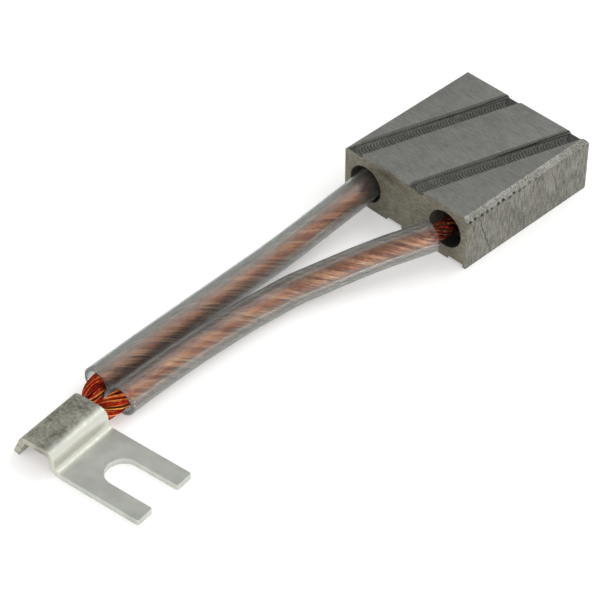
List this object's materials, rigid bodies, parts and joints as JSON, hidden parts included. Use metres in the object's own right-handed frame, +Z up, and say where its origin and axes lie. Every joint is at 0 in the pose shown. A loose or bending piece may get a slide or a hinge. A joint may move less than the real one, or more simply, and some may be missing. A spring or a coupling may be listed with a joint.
{
  "type": "carbon brush",
  "caption": "Flat graphite motor brush with slanted grooves, sleeved copper flexes and a folded fork terminal that clamps under a screw",
  "frame": {"origin": "middle of the block's underside, on the surface that the block and the terminal lie on", "axes": "+Y along the block from its lead end to its running end, +X across its width, +Z up through its thickness"},
  "size_m": [0.0294, 0.099, 0.0095],
  "materials": {
    "graphite": "pressed and ground graphite, satin, with fine grinding lines",
    "tamped_powder": "tamped conductive powder, matt",
    "stranded_copper": "bare stranded copper rope",
    "clear_sleeve": "clear flexible insulating sleeve, glossy",
    "tinned_sheet": "tinned sheet, satin"
  },
  "bodies": {
    "root": {"carbon_block": "graphite", "tamping_plug_left": "tamped_powder", "tamping_plug_right": "tamped_powder", "flex_left": "stranded_copper", "flex_right": "stranded_copper", "sleeve_left": "clear_sleeve", "sleeve_right": "clear_sleeve", "fork_terminal": "tinned_sheet"}
  },
  "joints": []
}
